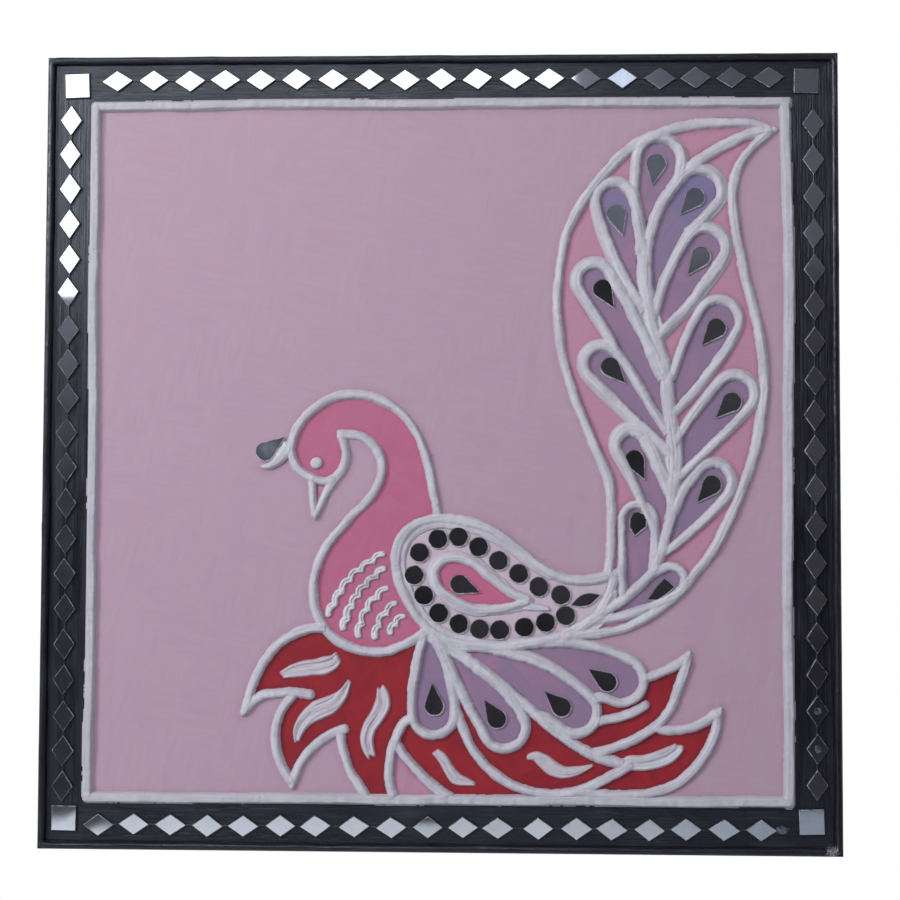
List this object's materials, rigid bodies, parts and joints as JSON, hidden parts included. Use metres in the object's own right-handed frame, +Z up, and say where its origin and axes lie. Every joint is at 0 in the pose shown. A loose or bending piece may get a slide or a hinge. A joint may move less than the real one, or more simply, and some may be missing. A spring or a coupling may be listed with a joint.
{
  "type": "lippan mirror wall art panel",
  "caption": "Square hanging panel in mud-and-mirror work: a peacock in raised white coils on a pink ground, framed by a black band of diamond mirrors.",
  "frame": {"origin": "middle of the board's flat back face, which lies in the plane y = 0", "axes": "the picture faces -Y and the back faces +Y, +X is the viewer's right and +Z is up"},
  "size_m": [0.4064, 0.0088, 0.4064],
  "materials": {
    "painted_board": "painted fibreboard, satin acrylic with brush streaks",
    "black_clay": "air-dry clay coil, painted black",
    "white_clay": "air-dry clay coil, painted off-white, matt",
    "mirror": "thin silvered craft mirror"
  },
  "bodies": {
    "root": {"board": "painted_board", "rim_coil": "black_clay", "border_coil": "white_clay", "peacock_relief": "white_clay", "heart_coil": "white_clay", "eye_dot": "white_clay", "flame_1": "white_clay", "flame_2": "white_clay", "flame_3": "white_clay", "flame_4": "white_clay", "flame_5": "white_clay", "scallop_1": "white_clay", "scallop_2": "white_clay", "scallop_3": "white_clay", "scallop_4": "white_clay", "scallop_5": "white_clay", "corner_mirror_1": "mirror", "corner_mirror_2": "mirror", "corner_mirror_3": "mirror", "corner_mirror_4": "mirror", "diamond_row_top": "mirror", "diamond_row_right": "mirror", "diamond_row_bottom": "mirror", "diamond_row_left": "mirror", "round_mirror_01": "mirror", "round_mirror_02": "mirror", "round_mirror_03": "mirror", "round_mirror_04": "mirror", "round_mirror_05": "mirror", "round_mirror_06": "mirror", "round_mirror_07": "mirror", "round_mirror_08": "mirror", "round_mirror_09": "mirror", "round_mirror_10": "mirror", "round_mirror_11": "mirror", "round_mirror_12": "mirror", "round_mirror_13": "mirror", "round_mirror_14": "mirror", "round_mirror_15": "mirror", "round_mirror_16": "mirror", "round_mirror_17": "mirror", "crest_mirror": "mirror", "wing_mirror": "mirror", "leaf_mirror": "mirror", "feather_mirror_01": "mirror", "feather_mirror_02": "mirror", "feather_mirror_03": "mirror", "feather_mirror_04": "mirror", "feather_mirror_05": "mirror", "feather_mirror_06": "mirror", "feather_mirror_07": "mirror", "feather_mirror_08": "mirror", "feather_mirror_09": "mirror", "feather_mirror_10": "mirror", "feather_mirror_11": "mirror", "feather_mirror_12": "mirror", "petal_mirror_1": "mirror", "petal_mirror_2": "mirror", "petal_mirror_3": "mirror", "petal_mirror_4": "mirror"}
  },
  "joints": []
}
